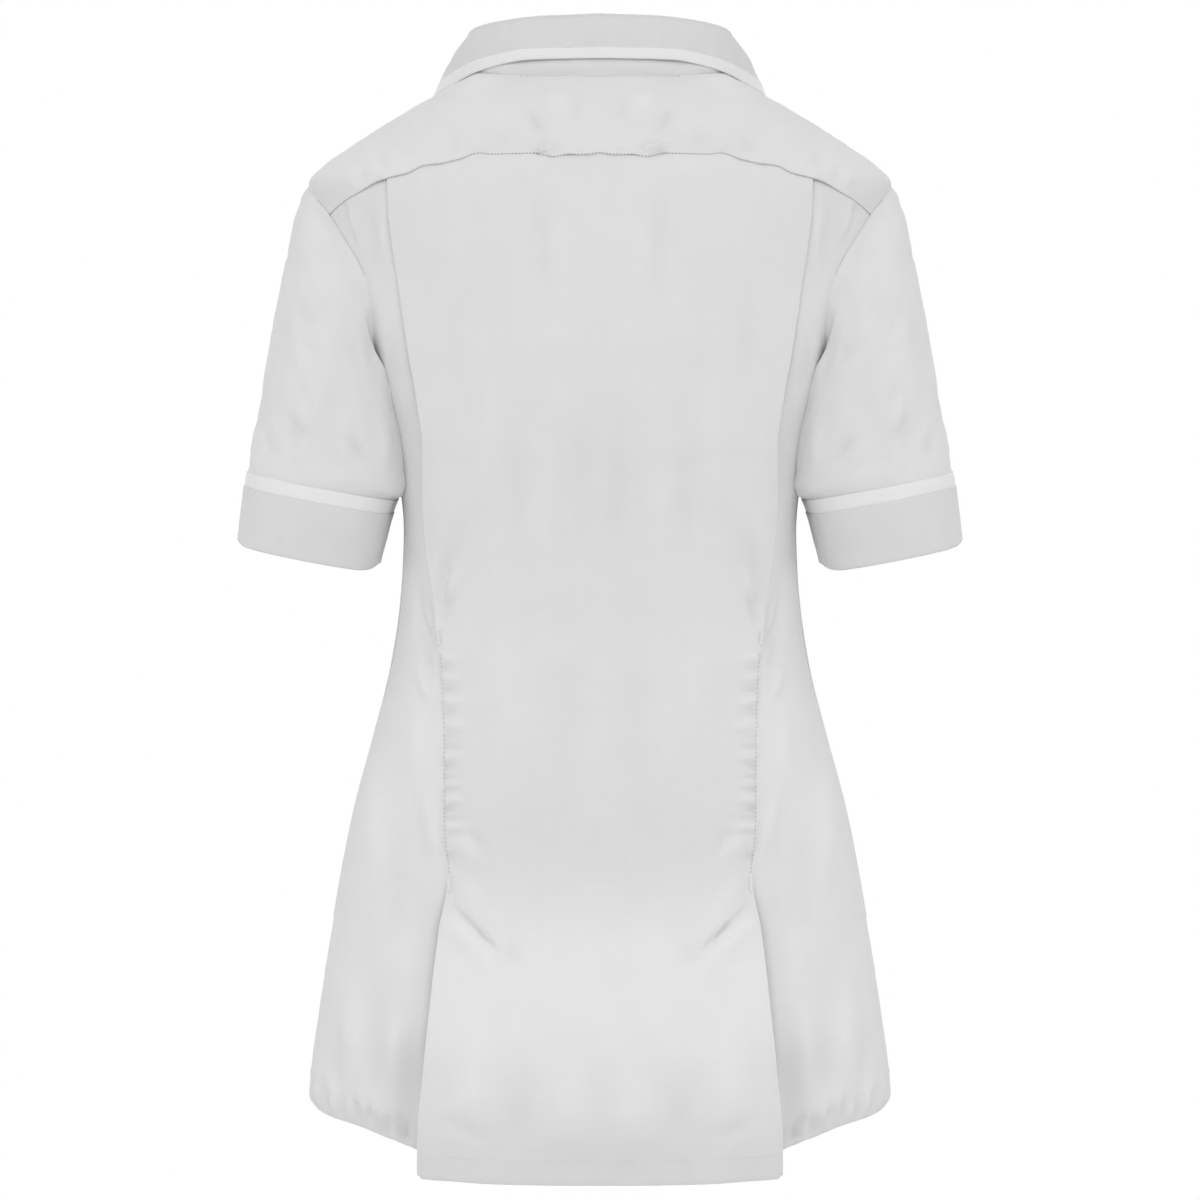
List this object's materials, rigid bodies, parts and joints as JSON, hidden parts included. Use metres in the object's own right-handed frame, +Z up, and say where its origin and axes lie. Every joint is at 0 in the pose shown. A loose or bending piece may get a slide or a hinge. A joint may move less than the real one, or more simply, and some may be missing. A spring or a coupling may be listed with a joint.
{
  "type": "medical tunic",
  "caption": "Short-sleeved women's healthcare tunic in worn shape, with back yoke, pleated back, revere collar and buttoned front.",
  "frame": {"origin": "midway between the shoulders, level with the base of the neck, where the wearer's shoulders hold the tunic up", "axes": "+Z up, front of the tunic towards -Y, wearer's left side towards +X"},
  "size_m": [0.516, 0.3117, 0.7853],
  "materials": {
    "cloth": "plain-woven polyester-cotton, matt with a faint sheen",
    "trim": "smooth woven piping band, slightly lighter than the cloth",
    "button": "semi-gloss"
  },
  "bodies": {
    "root": {"yoke": "cloth", "centre_back": "cloth", "side_back_left": "cloth", "side_back_right": "cloth", "front_left": "cloth", "front_right": "cloth", "rever_left": "cloth", "rever_right": "cloth", "collar_stand": "cloth", "collar_leaf": "cloth", "collar_trim": "trim", "sleeve_left": "cloth", "sleeve_right": "cloth", "cuff_trim_left": "trim", "cuff_trim_right": "trim", "cuff_left": "cloth", "cuff_right": "cloth", "button_1": "button", "button_2": "button", "button_3": "button", "button_4": "button", "button_5": "button"}
  },
  "joints": []
}
